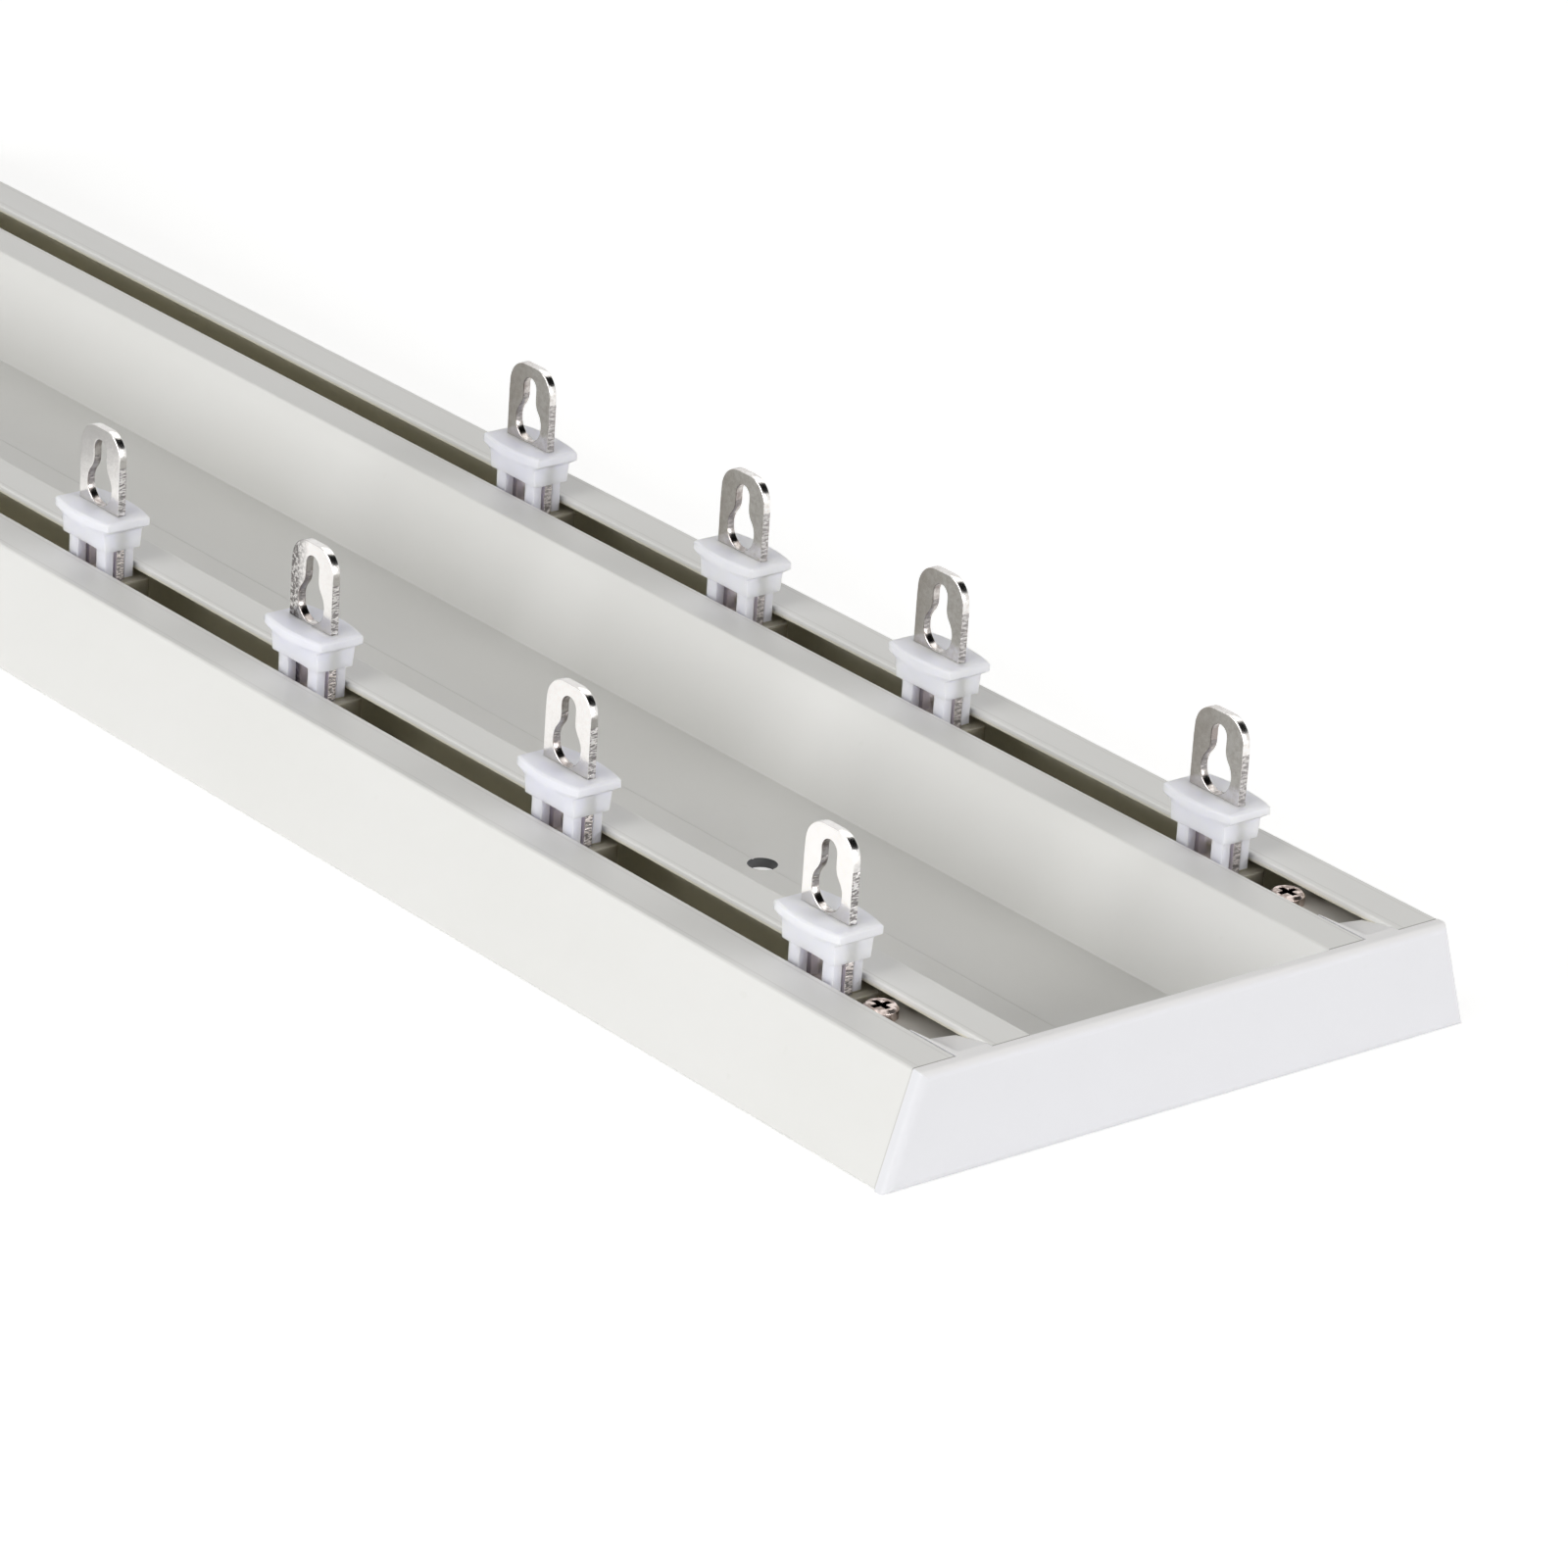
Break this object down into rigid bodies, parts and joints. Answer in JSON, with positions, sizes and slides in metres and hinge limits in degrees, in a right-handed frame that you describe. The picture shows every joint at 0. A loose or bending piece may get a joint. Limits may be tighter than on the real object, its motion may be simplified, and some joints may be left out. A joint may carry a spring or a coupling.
{
  "type": "curtain track",
  "caption": "Double curtain track: white extruded section with two slotted channels either side of a trough, screwed end caps and sliding nylon runners with steel keyhole eyelets.",
  "frame": {"origin": "middle of the wide ceiling face, on the surface that the track lies on", "axes": "+X along the track towards the end cap that the picture shows, -Y towards the channel nearest the camera, +Z from the ceiling face towards the slots. It lies as in the picture, with its runners up; fixed to a ceiling it is turned over about X, and +Z points down."},
  "size_m": [0.4044, 0.1, 0.0355],
  "materials": {
    "powder_coat": "white semi-gloss powder coat",
    "cap_plastic": "satin",
    "screw_nickel": "dull nickel plate",
    "runner_nylon": "translucent moulded nylon",
    "eyelet_nickel": "bright nickel plate"
  },
  "bodies": {
    "track": {"track_profile": "powder_coat", "end_cap_right": "cap_plastic", "end_cap_left": "cap_plastic", "cap_screw_right_near": "screw_nickel", "cap_screw_right_far": "screw_nickel", "cap_screw_left_near": "screw_nickel", "cap_screw_left_far": "screw_nickel"},
    "runner_near_1": {"runner_near_1": "runner_nylon", "eyelet_near_1": "eyelet_nickel"},
    "runner_near_2": {"runner_near_2": "runner_nylon", "eyelet_near_2": "eyelet_nickel"},
    "runner_near_3": {"runner_near_3": "runner_nylon", "eyelet_near_3": "eyelet_nickel"},
    "runner_near_4": {"runner_near_4": "runner_nylon", "eyelet_near_4": "eyelet_nickel"},
    "runner_far_1": {"runner_far_1": "runner_nylon", "eyelet_far_1": "eyelet_nickel"},
    "runner_far_2": {"runner_far_2": "runner_nylon", "eyelet_far_2": "eyelet_nickel"},
    "runner_far_3": {"runner_far_3": "runner_nylon", "eyelet_far_3": "eyelet_nickel"},
    "runner_far_4": {"runner_far_4": "runner_nylon", "eyelet_far_4": "eyelet_nickel"}
  },
  "joints": [
    {"name": "slide_near_1", "type": "slide", "parent": "track", "child": "runner_near_1", "axis": [1, 0, 0], "range_m": [-0.176, 0.01905]},
    {"name": "slide_near_2", "type": "slide", "parent": "track", "child": "runner_near_2", "axis": [1, 0, 0], "range_m": [-0.01905, 0.02225]},
    {"name": "slide_near_3", "type": "slide", "parent": "track", "child": "runner_near_3", "axis": [1, 0, 0], "range_m": [-0.02225, 0.02045]},
    {"name": "slide_near_4", "type": "slide", "parent": "track", "child": "runner_near_4", "axis": [1, 0, 0], "range_m": [-0.02045, 0.0021]},
    {"name": "slide_far_1", "type": "slide", "parent": "track", "child": "runner_far_1", "axis": [1, 0, 0], "range_m": [-0.1851, 0.01825]},
    {"name": "slide_far_2", "type": "slide", "parent": "track", "child": "runner_far_2", "axis": [1, 0, 0], "range_m": [-0.01825, 0.01505]},
    {"name": "slide_far_3", "type": "slide", "parent": "track", "child": "runner_far_3", "axis": [1, 0, 0], "range_m": [-0.01505, 0.02205]},
    {"name": "slide_far_4", "type": "slide", "parent": "track", "child": "runner_far_4", "axis": [1, 0, 0], "range_m": [-0.02205, 0.0058]}
  ]
}
